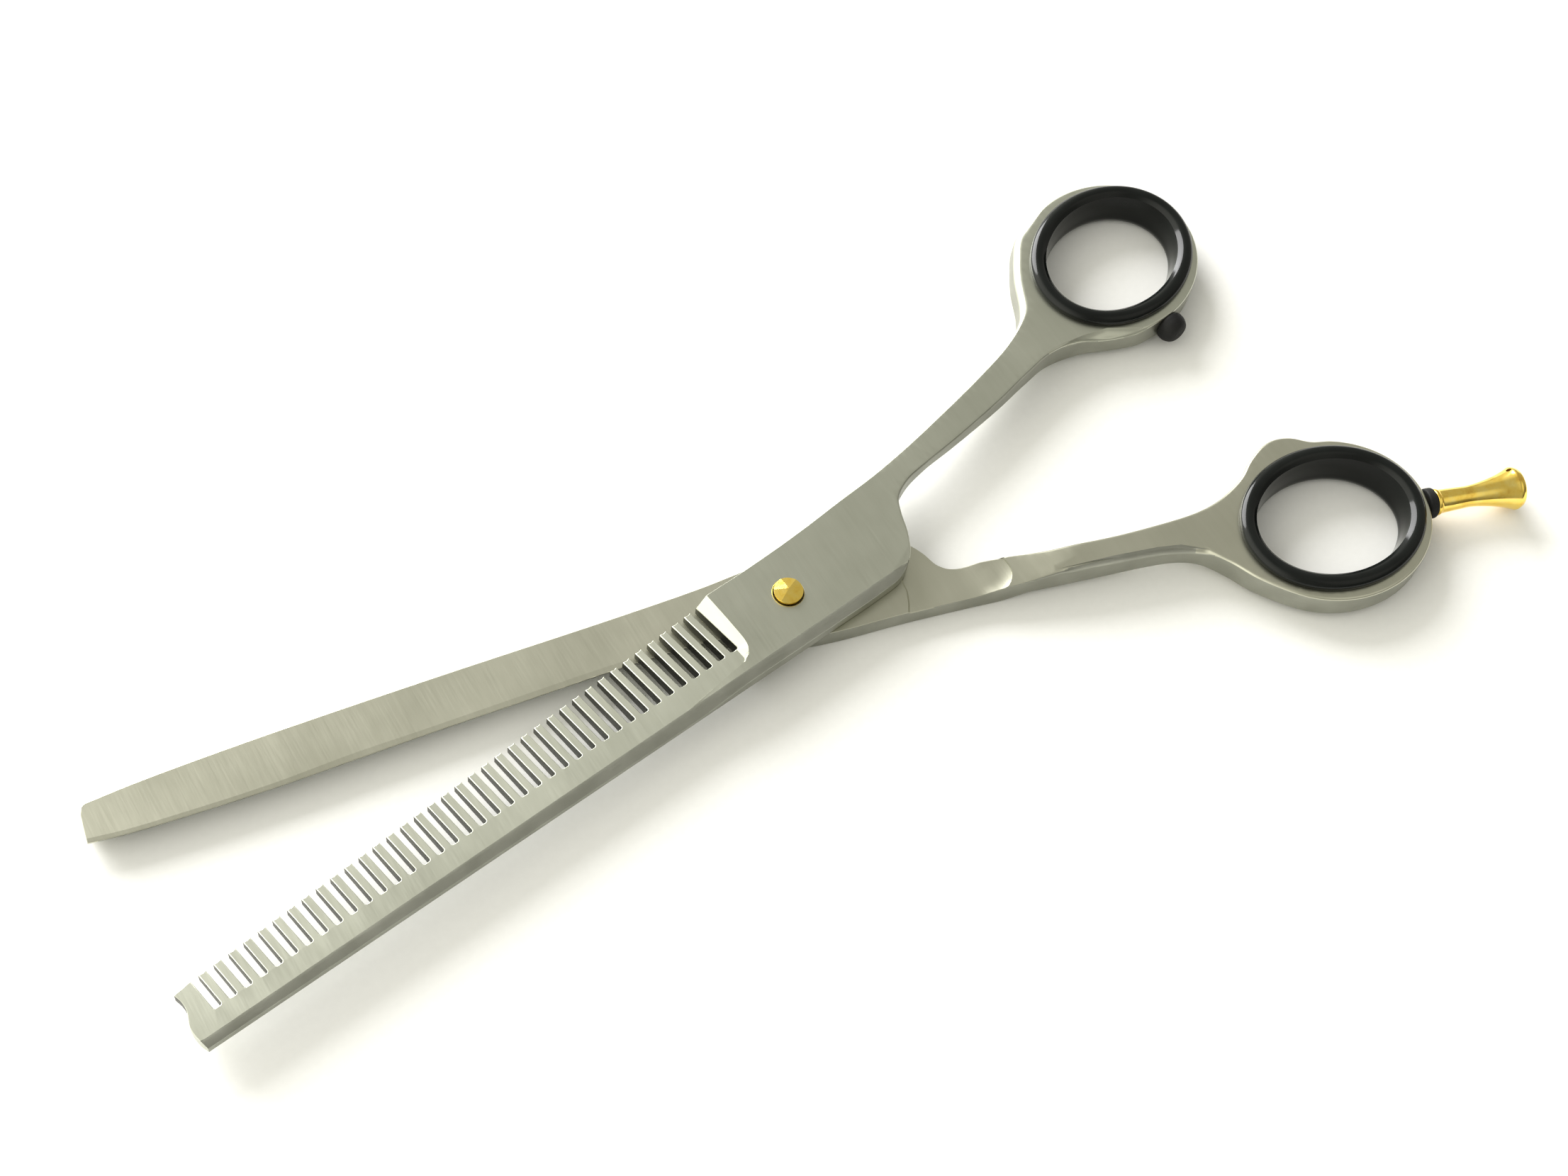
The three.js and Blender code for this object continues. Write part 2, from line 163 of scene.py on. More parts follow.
def add_mesh(name, verts, faces, body, material, slot, stands_for, sharp=35.0, sharp_edges=()):
    mesh = bpy.data.meshes.new(name)
    mesh.from_pydata([tuple(v) for v in verts], [], faces)
    mesh.validate()
    bm = bmesh.new()
    bm.from_mesh(mesh)
    bmesh.ops.recalc_face_normals(bm, faces=bm.faces)
    bm.to_mesh(mesh)
    bm.free()
    mesh.shade_smooth()
    mesh.set_sharp_from_angle(angle=math.radians(sharp))
    if sharp_edges:
        wanted = {tuple(sorted(e)) for e in sharp_edges}
        flags = mesh.attributes.get("sharp_edge")
        flags = flags or mesh.attributes.new("sharp_edge", "BOOLEAN", "EDGE")
        for edge in mesh.edges:
            if tuple(sorted(edge.vertices)) in wanted:
                flags.data[edge.index].value = True
    piece = bpy.data.objects.new(name, mesh)
    bpy.context.scene.collection.objects.link(piece)
    mesh.materials.append(material)
    weighted = piece.modifiers.new("even shading", "WEIGHTED_NORMAL")
    weighted.keep_sharp = True
    weighted.mode = "FACE_AREA"
    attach(piece, body)
    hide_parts(stands_for)
    return piece


def to_part(points, turn):
    """Blade frame in millimetres to the part's frame in metres."""
    p = np.asarray(points, float)
    a = math.radians(turn)
    x = p[:, 0] * math.cos(a) - p[:, 1] * math.sin(a)
    y = p[:, 0] * math.sin(a) + p[:, 1] * math.cos(a)
    return np.c_[x, y, p[:, 2]] * MM


def inward(loop):
    """At each corner of a closed loop, the step that moves both its edges in by 1."""
    p = np.asarray(loop, float)
    before = p - np.roll(p, 1, 0)
    after = np.roll(p, -1, 0) - p
    na = np.c_[-before[:, 1], before[:, 0]] / np.linalg.norm(before, axis=1)[:, None]
    nb = np.c_[-after[:, 1], after[:, 0]] / np.linalg.norm(after, axis=1)[:, None]
    mid = na + nb
    mid /= np.linalg.norm(mid, axis=1)[:, None]
    return mid / np.maximum((mid * na).sum(1), 0.6)[:, None]


class Plate:
    """A flat forging: an outline with holes, a height for each face, and rounded edges."""

    def __init__(self, outline, holes):
        self.loops = [np.asarray(loop, float) for loop in [outline, *holes]]
        self.verts = []
        self.faces = []
        self.sharp = []

    def add(self, xy, z):
        first = len(self.verts)
        self.verts.extend(np.c_[xy, z])
        return list(range(first, first + len(xy)))

    def strip(self, low, high):
        for i in range(len(low)):
            j = (i + 1) % len(low)
            self.faces.append((low[i], low[j], high[j], high[i]))

    def face(self, height, radius, creases, fill, up):
        """Rounded edge rows and the face they enclose. Returns the outermost rows."""
        outer, inner, rims = [], [], []
        for index, loop in enumerate(self.loops):
            step = inward(loop)
            size = radius(loop[:, 0], loop[:, 1], index)
            rows = []
            for k in range(EDGE_ROWS + 1):
                angle = math.pi / 2 * k / EDGE_ROWS
                xy = loop + step * (size * (1 - math.cos(angle)))[:, None]
                drop = size * (1 - math.sin(angle))
                z = height(xy[:, 0], xy[:, 1]) + (-drop if up else drop)
                rows.append(self.add(xy, z))
            for low, high in zip(rows, rows[1:]):
                self.strip(low, high)
            crisp = np.flatnonzero(size < 0.2)
            self.sharp += [(rows[-1][i], rows[-1][(i + 1) % len(loop)]) for i in crisp]
            outer.append(rows[0])
            inner.append(rows[-1])
            rims.append(np.array([self.verts[i][:2] for i in rows[-1]]))
        self.cap(inner, rims, creases, fill, height)
        return outer

    def cap(self, inner, rims, creases, fill, height):
        coords = [tuple(p) for rim in rims for p in rim]
        known = [i for row in inner for i in row]
        edges = []
        start = 0
        for rim in rims:
            edges += [(start + i, start + (i + 1) % len(rim)) for i in range(len(rim))]
            start += len(rim)
        hard = len(edges)
        soft = hard + sum(len(line) - 1 for line in creases[0])
        for line in creases[0] + creases[1]:
            edges += [(len(coords) + i, len(coords) + i + 1) for i in range(len(line) - 1)]
            coords += [tuple(p) for p in line]
        if len(fill):
            keep = inside(fill, rims[0])
            for rim in rims[1:]:
                keep &= ~inside(fill, rim)
            for line in [np.vstack([r, r[:1]]) for r in rims] + creases[0] + creases[1]:
                keep &= distance_to(fill, line)[0] > 0.6
            coords += [tuple(p) for p in fill[keep]]
        flat, lines, tris, from_verts, from_lines, _ = delaunay_2d_cdt(
            [Vector(c) for c in coords], edges, [], 1, 1e-5, True)
        xy = np.array([tuple(v) for v in flat])
        middle = np.array([xy[list(t)].mean(0) for t in tris])
        keep = inside(middle, rims[0])
        for rim in rims[1:]:
            keep &= ~inside(middle, rim)
        z = height(xy[:, 0], xy[:, 1])
        ids = {}
        for i, came_from in enumerate(from_verts):
            on_rim = [c for c in came_from if c < len(known)]
            if on_rim:
                ids[i] = known[on_rim[0]]
        for tri, ok in zip(tris, keep):
            if not ok:
                continue
            for i in tri:
                if i not in ids:
                    ids[i] = self.add(xy[i:i + 1], z[i:i + 1])[0]
            self.faces.append(tuple(ids[i] for i in tri))
        for (a, b), came_from in zip(lines, from_lines):
            if a in ids and b in ids and any(hard <= c < soft for c in came_from):
                self.sharp.append((ids[a], ids[b]))


def make_plate(name, outline, holes, faces, creases, fill, turn, **how):
    """faces gives (height, edge radius) for the top, then for the underside.

    creases gives the top's (sharp lines, lines that it only bends along).
    """
    plate = Plate(outline, holes)
    (top, top_edge), (bottom, bottom_edge) = faces
    high = plate.face(top, top_edge, creases, fill, True)
    low = plate.face(bottom, bottom_edge, ([], []), fill, False)
    for a, b in zip(low, high):
        plate.strip(a, b)
    return add_mesh(name, to_part(np.array(plate.verts), turn), plate.faces,
                    sharp_edges=plate.sharp, **how)


def lathe(name, profile, place, sides=96, stretch=0.0, **how):
    """Turns a closed or axis-to-axis (radius, height) profile, placed by a matrix."""
    verts, rings = [], []
    for r, z in profile:
        if r < 1e-6:
            rings.append([len(verts)])
            verts.append(place @ Vector((0, 0, z)))
            continue
        rings.append(list(range(len(verts), len(verts) + sides)))
        for i in range(sides):
            a = 2 * math.pi * i / sides
            verts.append(place @ Vector(((r + stretch) * math.cos(a), r * math.sin(a), z)))
    faces = []
    pairs = list(zip(rings, rings[1:]))
    if profile[0][0] > 1e-6:
        pairs.append((rings[-1], rings[0]))
    for low, high in pairs:
        for i in range(sides):
            j = (i + 1) % sides
            quad = [low[i % len(low)], low[j % len(low)], high[j % len(high)], high[i % len(high)]]
            faces.append(tuple(dict.fromkeys(quad)))
    return add_mesh(name, [Vector(v) * MM for v in verts], faces, **how)


def round_corners(points, radius, steps=4):
    """A profile with its inner corners rounded."""
    out = [points[0]]
    for before, corner, after in zip(points, points[1:], points[2:]):
        b, c, a = Vector(before), Vector(corner), Vector(after)
        cut = min(radius, (b - c).length / 2.05, (a - c).length / 2.05)
        start = c + (b - c).normalized() * cut
        end = c + (a - c).normalized() * cut
        for k in range(steps + 1):
            t = k / steps
            out.append(tuple(start * (1 - t) ** 2 + c * 2 * t * (1 - t) + end * t ** 2))
    return out + [points[-1]]


# ---- Materials ----

class Paint:
    """A node material. The shader's own constants are set on its sockets."""

    def __init__(self, name, **constants):
        self.material = bpy.data.materials.new(name)
        self.material.use_nodes = True
        self.tree = self.material.node_tree
        self.shader = self.tree.nodes["Principled BSDF"]
        for socket, value in constants.items():
            self.shader.inputs[socket.replace("_", " ")].default_value = value
        self.place = self.node("ShaderNodeTexCoord").outputs["Object"]

    def node(self, kind, **settings):
        made = self.tree.nodes.new(kind)
        for key, value in settings.items():
            setattr(made, key, value)
        return made

    def feed(self, socket, value):
        if isinstance(value, (int, float, tuple)):
            socket.default_value = value
        else:
            self.tree.links.new(value, socket)

    def noise(self, scale, detail=3.0, roughness=0.5, turn=0.0, stretch=(1, 1, 1)):
        """Noise whose cells measure 1/scale metres, squeezed or stretched along each axis."""
        mapping = self.node("ShaderNodeMapping")
        self.feed(mapping.inputs["Vector"], self.place)
        mapping.inputs["Rotation"].default_value = (0, 0, math.radians(turn))
        mapping.inputs["Scale"].default_value = stretch
        made = self.node("ShaderNodeTexNoise")
        self.feed(made.inputs["Vector"], mapping.outputs["Vector"])
        made.inputs["Scale"].default_value = scale
        made.inputs["Detail"].default_value = detail
        made.inputs["Roughness"].default_value = roughness
        return made.outputs["Fac"]

    def blend(self, amount, low, high):
        """A value between low and high."""
        made = self.node("ShaderNodeMapRange")
        self.feed(made.inputs["Value"], amount)
        made.inputs["From Min"].default_value = 0.25
        made.inputs["From Max"].default_value = 0.75
        made.inputs["To Min"].default_value = low
        made.inputs["To Max"].default_value = high
        return made.outputs["Result"]

    def math(self, operation, a, b):
        made = self.node("ShaderNodeMath", operation=operation)
        self.feed(made.inputs[0], a)
        self.feed(made.inputs[1], b)
        return made.outputs["Value"]

    def tint(self, amount, *stops):
        """A colour ramp from (position, colour) stops."""
        ramp = self.node("ShaderNodeValToRGB")
        self.feed(ramp.inputs["Fac"], amount)
        elements = ramp.color_ramp.elements
        while len(elements) < len(stops):
            elements.new(0.5)
        for element, (position, colour) in zip(elements, stops):
            element.position = position
            element.color = (*colour, 1)
        return ramp.outputs["Color"]

    def bump(self, height, depth, strength=1.0, under=None):
        made = self.node("ShaderNodeBump")
        made.inputs["Distance"].default_value = depth
        made.inputs["Strength"].default_value = strength
        self.feed(made.inputs["Height"], height)
        if under is not None:
            self.feed(made.inputs["Normal"], under)
        return made.outputs["Normal"]

    def finish(self, colour=None, roughness=None, normal=None):
        for socket, value in (("Base Color", colour), ("Roughness", roughness), ("Normal", normal)):
            if value is not None:
                self.feed(self.shader.inputs[socket], value)
        return self.material


def satin_steel(name, turn, warmth=0.0):
    """Ground stainless steel, with fine lines across the blade and slow changes of tone."""
    paint = Paint(name, Metallic=1.0)
    lines = paint.noise(1.0, 4.0, 0.65, turn, (5200, 160, 500))
    bands = paint.noise(1.0, 3.0, 0.6, turn, (900, 60, 200))
    grit = paint.noise(5200, 2.0, 0.6)
    cloud = paint.noise(70, 3.0, 0.55)
    tone = paint.math("ADD", paint.math("MULTIPLY", bands, 0.45),
                      paint.math("MULTIPLY", cloud, 0.55))
    colour = paint.tint(tone, (0.30, (0.520 + warmth, 0.533, 0.445 - warmth)),
                        (0.50, (0.545 + warmth, 0.557, 0.470 - warmth)),
                        (0.72, (0.572 + warmth, 0.583, 0.495 - warmth)))
    rough = paint.math("ADD", paint.blend(lines, 0.29, 0.35), paint.blend(cloud, -0.02, 0.03))
    normal = paint.bump(grit, 2e-6, 0.35, paint.bump(lines, 3e-6, 0.08))
    return paint.finish(colour, rough, normal)


def shaded_wall_steel(name, tone):
    """Darker, rougher steel at the given tone: painted shade in the slots, the spine hollow and on
    the handle faces turned from the window; a plain darker tone on the other side walls.
    """
    paint = Paint(name, Metallic=1.0)
    dark = (tone * 0.88, tone * 0.89, tone * 0.76)
    light = (tone * 1.08, tone * 1.09, tone * 0.95)
    saw = paint.noise(1.0, 3.0, 0.6, 0.0, (300, 300, 6000))
    cloud = paint.noise(200, 3.0)
    colour = paint.tint(cloud, (0.3, dark), (0.7, light))
    return paint.finish(colour, paint.blend(saw, 0.36, 0.5), paint.bump(saw, 4e-6, 0.4))


def turned_steel(name):
    paint = Paint(name, Metallic=1.0)
    grit = paint.noise(2600, 4.0, 0.6)
    cloud = paint.noise(300, 2.0)
    colour = paint.tint(cloud, (0.3, (0.47, 0.46, 0.42)), (0.7, (0.58, 0.57, 0.53)))
    return paint.finish(colour, paint.blend(grit, 0.28, 0.42), paint.bump(grit, 4e-6, 0.4))


def polished_gold(name):
    """Gold-coloured plating: bright, with a faint fine grain and rubbed, redder patches."""
    paint = Paint(name, Metallic=1.0)
    rub = paint.noise(420, 4.0, 0.6)
    fine = paint.noise(3000, 3.0, 0.6)
    colour = paint.tint(rub, (0.28, (0.84, 0.50, 0.08)), (0.45, (1.0, 0.71, 0.14)),
                        (0.75, (1.0, 0.80, 0.26)))
    rough = paint.math("ADD", paint.blend(rub, 0.10, 0.19), paint.blend(fine, -0.02, 0.04))
    return paint.finish(colour, rough, paint.bump(fine, 2e-6, 0.4))


def gloss_black(name):
    """Moulded black plastic, with a slight orange peel and handling haze."""
    paint = Paint(name, IOR=1.3)
    peel = paint.noise(420, 2.0, 0.5)
    haze = paint.noise(130, 4.0, 0.6)
    dust = paint.noise(2400, 2.0, 0.6)
    colour = paint.tint(haze, (0.3, (0.004, 0.0048, 0.0044)), (0.7, (0.008, 0.0095, 0.0088)))
    rough = paint.math("ADD", paint.blend(haze, 0.09, 0.15), paint.blend(dust, -0.01, 0.02))
    normal = paint.bump(dust, 1.5e-6, 0.3, paint.bump(peel, 1.2e-5, 0.35))
    return paint.finish(colour, rough, normal)


def black_rubber(name):
    paint = Paint(name, IOR=1.3)
    pores = paint.noise(2800, 4.0, 0.65)
    scuff = paint.noise(350, 3.0, 0.6)
    colour = paint.tint(scuff, (0.3, (0.006, 0.006, 0.0065)), (0.75, (0.016, 0.016, 0.0155)))
    return paint.finish(colour, paint.blend(pores, 0.5, 0.75), paint.bump(pores, 1.5e-5, 0.5))


def dull_nylon(name):
    paint = Paint(name, IOR=1.5)
    grain = paint.noise(2600, 3.0, 0.6)
    colour = paint.tint(grain, (0.3, (0.025, 0.024, 0.022)), (0.7, (0.055, 0.053, 0.05)))
    return paint.finish(colour, paint.blend(grain, 0.42, 0.62), paint.bump(grain, 6e-6, 0.4))


def pale_table(name):
    paint = Paint(name, Roughness=0.8, IOR=1.3)
    grain = paint.noise(900, 4.0, 0.6)
    colour = paint.tint(grain, (0.3, (0.885, 0.885, 0.875)), (0.7, (0.905, 0.905, 0.895)))
    return paint.finish(colour, None, paint.bump(grain, 2e-5, 0.1))


steel_toothed = satin_steel("steel, toothed half", -HALF_OPENING)
steel_straight = satin_steel("steel, straight half", HALF_OPENING, 0.015)
# Darker steels: painted shade in the slots, the spine hollow and on the handle faces turned from
# the window; the side walls are also darker.
slot_shade_steel = shaded_wall_steel("slot walls, painted shade", 0.085)
side_wall_and_shade = shaded_wall_steel("darker side walls and painted shade", 0.36)
hollow_shade_steel = shaded_wall_steel("spine hollow, painted shade", 0.40)
bush_steel = turned_steel("turned steel")
gold = polished_gold("gold plate")
ring_black = gloss_black("gloss black plastic")
rubber = black_rubber("black rubber")
nylon = dull_nylon("nylon")


# ---- Toothed half ----

SPINE_TURN = 0.0105        # the spine's slope along the blade
HOLLOW = [(0.0, 0.0), (0.18, 0.28), (1.7, 2.15)]   # (past the crease, drop)
WALL_SLOPE = 7             # how steep the wall beside the wedge is
STEP_CURVE = spline([(9.7, -8.0), (9.7, -0.4), (9.83, 2.5), (10.1, 3.46), (10.76, 4.43),
                     (11.55, 4.82)], 0.3)
WEDGE_LINE = [(11.85, 5.1), (14.0, 5.3), (16.4, 5.5), (19.4, 5.8), (22.4, 6.12)]
STEP_EDGE = STEP_CURVE + WEDGE_LINE
STEP_FOOT = [(11.52, -8.0), (11.5, -6.5), (11.3, -2.0), (11.24, 2.2), (11.27, 4.2), (11.42, 4.5)]
RIDGE = [(-77.7, -4.1), (-71.2, -8.4), (-67.1, -9.4), (-62.4, -10.2)]


def past(x, y, line, width):
    """How far each point is to the left of a line that runs towards +X, as a share of width."""
    far, side = distance_to(np.c_[x, y], line)
    ends = ease((x - line[0][0]) / 3.0) * ease((line[-1][0] - x) / 3.0)
    return np.clip(np.where(side > 0, far, 0) / width, 0, 1), ends


def scoop(x, y, line, width, depth):
    """A hollow that is steep at the line and levels out beyond it."""
    share, ends = past(x, y, line, width)
    return depth * ends * (1 - (1 - share) ** 2)


def beside(line, gaps):
    """Copies of a line, each moved to its left."""
    p = np.array(line)
    along = np.gradient(p, axis=0)
    along /= np.linalg.norm(along, axis=1)[:, None]
    return [[tuple(q) for q in p + gap * np.c_[-along[:, 1], along[:, 0]]] for gap in gaps]


def tooth_line(x):
    return -6.4 + 0.0655 * (x - 10.8)


def root_line(x):
    return 2.5 + 0.0219 * (x - FIRST_SLOT)


def toothed_teeth():
    """The toothed edge: slots with nearly square roots, and a shallow hollow in each tip."""
    out = []
    for index in range(SLOT_COUNT):
        x = FIRST_SLOT + index * SLOT_PITCH
        root = 2.5 + 1.85 * index / (SLOT_COUNT - 1)
        mouth = x + SLOT_LEAN * (root - tooth_line(x))
        left, right = mouth - SLOT_HALF, mouth + SLOT_HALF
        out.append((left, tooth_line(left)))
        for side, angles in ((-1, (180, 150, 120, 90)), (1, (90, 60, 30, 0))):
            centre = x + side * (SLOT_HALF - SLOT_CORNER)
            for angle in np.radians(angles):
                out.append((centre + SLOT_CORNER * math.cos(angle),
                            root - SLOT_CORNER + SLOT_CORNER * math.sin(angle)))
        out.append((right, tooth_line(right)))
        if index < SLOT_COUNT - 1:
            tip = right + (SLOT_PITCH - 2 * SLOT_HALF) / 2
            out += [(tip - 0.3, tooth_line(tip) + 0.1), (tip, tooth_line(tip) + 0.16),
                    (tip + 0.3, tooth_line(tip) + 0.1)]
    return out


def toothed_outline():
    """The tip, the spine, the plate, the shank and thumb ring, and back along the teeth."""
    end = spline([(99.4, -0.3), (99.15, 1.0), (99.25, 2.4), (100.1, 4.6), (100.1, 6.6),
                  (99.7, 7.9)], 0.3)
    along = np.r_[np.arange(96, 30, -2.0), np.arange(30, -3, -0.75)]
    spine = [(x, 7.5 + 0.4 * (x - 13.7) / 86) for x in along]
    handle = spline(
        [(-4.0, 7.4), (-11.5, 7.3), (-15.9, 6.9), (-18.4, 5.4), (-20.6, 2.4), (-22.2, -1.0),
         (-23.6, -3.1), (-26.6, -4.6), (-31.0, -5.3), (-37.3, -6.0), (-48.0, -7.6),
         (-55.0, -8.95), (-60.5, -9.7), (-66.0, -9.0), (-71.5, -6.5), (-75.6, -4.85)]
        + oval(THUMB_STEEL, RING_OUTER, 68, 272, 18)
        + [(-71.9, -30.2), (-68.5, -27.1), (-65.7, -23.8), (-62.5, -19.1), (-60.0, -16.7),
           (-55.7, -14.8), (-48.1, -12.8), (-36.9, -10.5), (-28.2, -9.0), (-14.2, -7.4),
           (-4.9, -6.7), (2.7, -6.42)])
    return end + spine + handle + [(6.0, -6.41), (9.7, -6.4)] + toothed_teeth()


def wedge(x):
    """1 on the pivot plate, falling to 0 where its last sliver runs out into the land."""
    return 1 - ease((x - 11.3) / 11.3)


def crease_line(x):
    return 5.94 + 0.31 * wedge(x) + SPINE_TURN * x


def toothed_top(x, y):
    """The plate, its step down to the land, the land itself and the hollow along the spine."""
    base = PLATE_TOP - 0.6 * ease((-26 - x) / 32) - 0.6 * ease((-57 - x) / 14)
    base = base - scoop(x, y, RIDGE, 1.5, 0.9)
    land = LAND_AT_TEETH + LAND_SLOPE * (y + 6)
    base = land + (base - land) * wedge(x)
    side = distance_to(np.c_[x, y], STEP_EDGE)[1]
    edge = np.interp(y, [q for _, q in STEP_CURVE], [p for p, _ in STEP_CURVE])
    foot = np.interp(y, [q for _, q in STEP_FOOT], [p for p, _ in STEP_FOOT])
    share = np.clip((foot - x) / np.maximum(foot - edge, 0.25), 0, 1)
    ramp = land + (base - land) * share
    wall = base - WALL_SLOPE * distance_to(np.c_[x, y], STEP_CURVE[-4:] + WEDGE_LINE)[0]
    below = np.maximum(np.maximum(ramp, wall), land)
    base = np.where(side < 0, np.minimum(base, below), base)
    beyond = y - crease_line(x)
    crest = SPINE_CREST + (PLATE_TOP - SPINE_CREST) * wedge(x)
    return np.minimum(base, np.where(beyond > 0, crest - np.interp(beyond, *zip(*HOLLOW)), 99.0))


def toothed_bottom(x, y):
    return TOOTHED_BOTTOM - 2.3 * ease((-26 - x) / 36)


def toothed_top_edge(x, y, loop):
    """Finely broken on the blade, more on the flanks of the teeth, and rounded on the shank."""
    mouth = y < tooth_line(x) + 0.05
    root = np.abs(y - root_line(x) + SLOT_CORNER) < 0.03
    edge = 0.05 + 0.09 * ((x > 11) & (mouth | root)) + 0.35 * ease((-14 - x) / 10)
    edge = edge + 0.95 * ease((-58 - x) / 5) * ease((-15 - y) / 4) * ease((x + 79) / 6)
    return edge if loop == 0 else np.full(len(x), 0.12 if loop == 1 else 0.3)


def toothed_bottom_edge(x, y, loop):
    edge = 0.05 + 1.5 * ease((-24 - x) / 8) - 1.0 * ease((-58 - x) / 8)
    return edge if loop == 0 else np.full(len(x), 0.05 if loop == 1 else 0.3)


def toothed_creases():
    """Lines on the top face: the sharp ones, then those that it only bends along."""
    xs = np.r_[np.linspace(-16, 10, 14), np.linspace(11, 24, 20), np.linspace(26, 99.5, 40)]
    hollow = [[(x, crease_line(x) + gap) for x in xs] for gap in (0.0, 0.18, 0.7)]
    drop = PLATE_TOP - LAND_AT_TEETH + 0.1
    wedge_foot = [(x, y - 0.02 - drop * wedge(x) / WALL_SLOPE) for x, y in WEDGE_LINE]
    sharp = [STEP_EDGE, STEP_FOOT + wedge_foot, hollow[0], RIDGE]
    return sharp, hollow[1:] + beside(RIDGE, (0.25, 0.55, 0.9))


def handle_fill(x_low, x_high, y_low, y_high, gap=1.4):
    xs, ys = np.meshgrid(np.arange(x_low, x_high, gap), np.arange(y_low, y_high, gap))
    return np.c_[xs.ravel(), ys.ravel()]


def give_walls(piece, turn, toothed):
    """Gives the side walls, the walls between the teeth and the spine hollow a darker steel:
    painted shade, except on the steep side walls, which are simply darker.
    """
    side, slot, ground = 1, 2, 3
    for steel in (side_wall_and_shade, slot_shade_steel, hollow_shade_steel):
        piece.data.materials.append(steel)
    back = Matrix.Rotation(math.radians(-turn), 3, "Z")
    for face in piece.data.polygons:
        at = (back @ face.center) / MM
        # Rounded handle faces turned towards +Y, away from the window, take the darker side steel
        # too: painted shade.
        rounded = -60 < at.x < -20 and face.normal.y > 0.3
        hollow = toothed and at.x > -18 and at.y > crease_line(at.x)
        if not -0.85 < face.normal.z < (0.84 if rounded or hollow else 0.35):
            continue
        # Walls between the teeth get the near-black steel: painted shade from the shaded opposite
        # walls.
        between = at.x > 10.9 and tooth_line(at.x) + 0.25 < at.y < 4.6
        if toothed and between:
            face.material_index = slot
        # Faces of the spine hollow get a darker steel: painted shade, the dark reflection of the
        # shaded side.
        elif hollow and face.normal.z >= 0.35:
            face.material_index = ground
        elif at.x < 99.0 and math.hypot(at.x, at.y) > 3:
            face.material_index = side


screw_hole = dict(x=0, y=0, turn=0)
toothed_steel = make_plate(
    "toothed_half_steel", toothed_outline(),
    [hole(screw_hole, (RECESS_RADIUS, RECESS_RADIUS), 64), hole(THUMB_RING, RING_BORE, 96)],
    [(toothed_top, toothed_top_edge), (toothed_bottom, toothed_bottom_edge)],
    toothed_creases(), handle_fill(-99, -23, -34, 2), HALF_OPENING,
    body="toothed_half", material=steel_toothed, slot="steel", stands_for="toothed_blade")
give_walls(toothed_steel, HALF_OPENING, True)


# ---- Straight half ----

CUTTING_EDGE = [(100.2, 2.75), (95.2, 3.15), (88.0, 3.3), (76.0, 3.25), (64.5, 2.85), (54.0, 2.45),
                (40.0, 2.1), (28.0, 1.8), (14.0, 1.9)]
HONE_LINE = spline([(100.3, 2.1), (95.2, 2.56), (88.1, 2.70), (76.0, 2.62), (64.3, 1.95),
                    (54.0, 1.70), (40.3, 1.28), (27.7, 0.95), (14.0, 1.0)], 2.0)
POCKET = dict(x=-29.6, y=5.4, radius=3.45, cove=2.2, climb=0.33)
SCOOP_LINE = [(-63.0, 14.4), (-61.7, 13.0), (-58.0, 11.4), (-54.5, 10.7), (-48.0, 9.85),
              (-39.0, 8.7)]
SHANK_START = 4.0          # height of the shank where the relief ends
STEP_RUN = 0.3             # length of the step from the blade down to the relief


def straight_outline():
    """The cutting edge, the plate, the shank and finger ring with its lug, and the spine."""
    edge = spline(CUTTING_EDGE + [
        (8.0, 2.8), (3.5, 4.7), (0.0, 5.9), (-5.0, 6.6), (-16.1, 7.2), (-28.0, 8.2),
        (-38.0, 9.3), (-48.0, 10.6), (-54.5, 11.5), (-58.0, 12.3), (-61.2, 13.7), (-63.8, 16.3),
        (-66.6, 20.2)]
        + oval(FINGER_RING, RING_OUTER, 42, 252, 18)
        + [(-83.6, -0.35), (-81.1, -0.9), (-78.8, -0.5), (-75.5, 1.3), (-72.8, 3.5), (-70.3, 4.9),
           (-67.2, 6.1), (-64.0, 6.8), (-59.6, 7.1), (-52.0, 6.9), (-45.5, 6.3), (-39.2, 5.3),
           (-34.0, 4.0), (-29.6, 3.0), (-26.3, 2.7), (-24.6, 2.1), (-23.4, 0.9), (-22.5, -1.2),
           (-21.3, -3.1), (-19.0, -5.2), (-16.0, -6.7), (-12.0, -7.4), (-6.0, -7.5), (3.3, -7.1),
           (10.6, -6.5), (23.7, -6.0), (51.0, -5.4), (77.6, -4.5), (92.4, -3.6), (99.2, -2.9)])
    return edge + [(99.75, -2.5), (100.05, -1.4), (100.15, 0.6)]


def ground_line(y):
    return np.interp(y, [2.3, 3.8, 5.8, 7.3], [-17.3, -17.3, -16.7, -16.0])


def straight_top(x, y):
    """The ground blade, the milled relief behind it and the shank that rises from the relief."""
    shank = SHANK_START + 1.6 * ease((-31.5 - x) / 13) + 0.3 * ease((-33 - x) / 13)
    shank = shank - 0.6 * ease((-54 - x) / 16) - scoop(x, y, SCOOP_LINE, 1.4, 1.1)
    share = ease((x + 29.6) / 4.5)
    off = np.hypot(np.minimum(x - POCKET["x"], 0), (y - POCKET["y"]) * (1 - share))
    climb = np.clip((off - POCKET["radius"]) / POCKET["cove"] + 1, 0, 1)
    floor = NECK_TOP + 0.6 * ease((-25.5 - x) / 7)
    cove = floor + POCKET["climb"] * climb ** 2
    relief = np.where(off >= POCKET["radius"], shank, np.minimum(shank, cove))
    step = np.clip((x - (ground_line(y) - STEP_RUN)) / STEP_RUN, 0, 1)
    blade = STRAIGHT_TOP - 0.06 * np.clip(hone_share(x, y), 0, 1)
    stepped = NECK_TOP + (STRAIGHT_TOP - NECK_TOP) * step
    return np.where(x > ground_line(y), blade, np.where(step > 0, stepped, relief))


